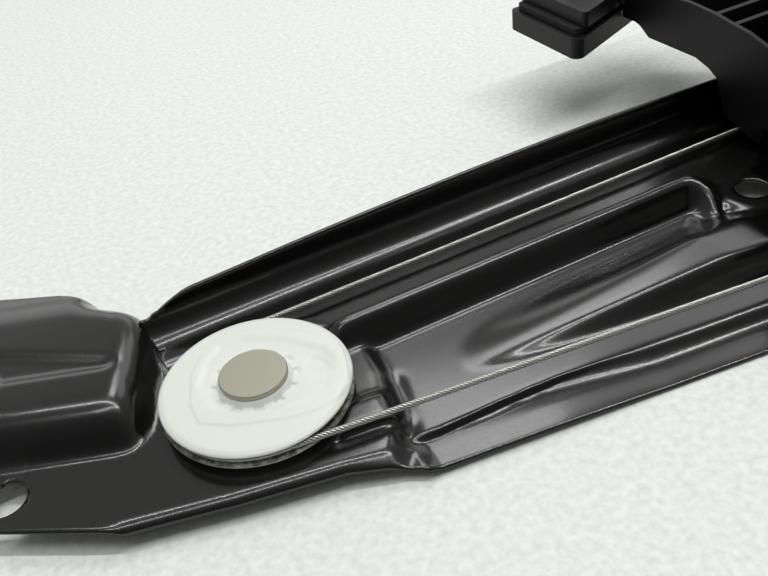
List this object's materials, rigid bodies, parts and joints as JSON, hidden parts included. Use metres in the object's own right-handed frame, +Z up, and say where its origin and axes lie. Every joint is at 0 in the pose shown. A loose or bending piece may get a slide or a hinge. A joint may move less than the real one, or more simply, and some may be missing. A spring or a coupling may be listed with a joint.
{
  "type": "window regulator",
  "caption": "Cable window regulator: pressed steel guide rail with end legs, riveted cable pulleys, cable drum in a housing and a sliding glass carrier with clamps.",
  "frame": {"origin": "on the cable drum's axis, level with the pulley seats of the rail plate", "axes": "+X along the guide rail towards its upper end, +Y across it towards the guide flange, +Z up out of the plate, on the cable's side"},
  "size_m": [0.571, 0.1868, 0.049],
  "materials": {
    "rail_coat": "glossy black electrocoat with light orange peel",
    "pulley_nylon": "moulded natural acetal, slightly translucent",
    "rivet_zinc": "bright zinc, headed cold",
    "drum_acetal": "natural acetal",
    "housing_nylon": "glass-filled nylon, matt",
    "insert_brass": "turned",
    "nipple_zinc": "die cast",
    "cable_steel": "stranded wire, galvanised",
    "carrier_acetal": "moulded black",
    "natural_acetal": "moulded natural",
    "shoe_acetal": "moulded natural",
    "pad_rubber": "moulded",
    "bolt_zinc": "zinc plated"
  },
  "bodies": {
    "rail": {"guide_rail": "rail_coat", "lower_pulley_rivet": "rivet_zinc", "upper_pulley_rivet": "rivet_zinc", "lower_pulley_washer": "rivet_zinc", "upper_pulley_washer": "rivet_zinc", "drum_housing": "housing_nylon", "drum_bearing_ring": "housing_nylon", "motor_inserts": "insert_brass", "lower_cable": "cable_steel", "upper_cable": "cable_steel"},
    "carrier": {"carrier": "carrier_acetal", "cable_end_block": "natural_acetal", "lower_carrier_nipple": "nipple_zinc", "upper_carrier_nipple": "nipple_zinc", "lower_guide_shoe": "shoe_acetal", "upper_guide_shoe": "shoe_acetal", "far_clamp_jaw": "carrier_acetal", "near_clamp_jaw": "carrier_acetal", "far_clamp_pad": "pad_rubber", "near_clamp_pad": "pad_rubber", "far_clamp_bolt": "bolt_zinc", "near_clamp_bolt": "bolt_zinc", "far_clamp_nut": "bolt_zinc", "near_clamp_nut": "bolt_zinc"},
    "lower_pulley": {"lower_pulley": "pulley_nylon"},
    "upper_pulley": {"upper_pulley": "pulley_nylon"},
    "drum": {"cable_drum": "drum_acetal", "lower_drum_nipple": "nipple_zinc", "upper_drum_nipple": "nipple_zinc"}
  },
  "joints": [
    {"name": "carrier_slide", "type": "slide", "parent": "rail", "child": "carrier", "axis": [1, 0, 0], "range_m": [-0.139, 0.111]},
    {"name": "lower_pulley_spin", "type": "hinge", "parent": "rail", "child": "lower_pulley", "pos_m": [-0.205, 0.0276, 0], "axis": [0, 0, 1], "range_deg": [-270, 338]},
    {"name": "upper_pulley_spin", "type": "hinge", "parent": "rail", "child": "upper_pulley", "pos_m": [0.205, 0.0276, 0], "axis": [0, 0, 1], "range_deg": [-270, 338]},
    {"name": "drum_spin", "type": "hinge", "parent": "rail", "child": "drum", "pos_m": [0, 0, 0], "axis": [0, 0, 1], "range_deg": [-303, 380]}
  ],
  "couplings": [
    {"joint": "lower_pulley_spin", "follows": "carrier_slide", "rad_per_m": -42.373},
    {"joint": "upper_pulley_spin", "follows": "carrier_slide", "rad_per_m": -42.373},
    {"joint": "drum_spin", "follows": "carrier_slide", "rad_per_m": -47.619}
  ]
}
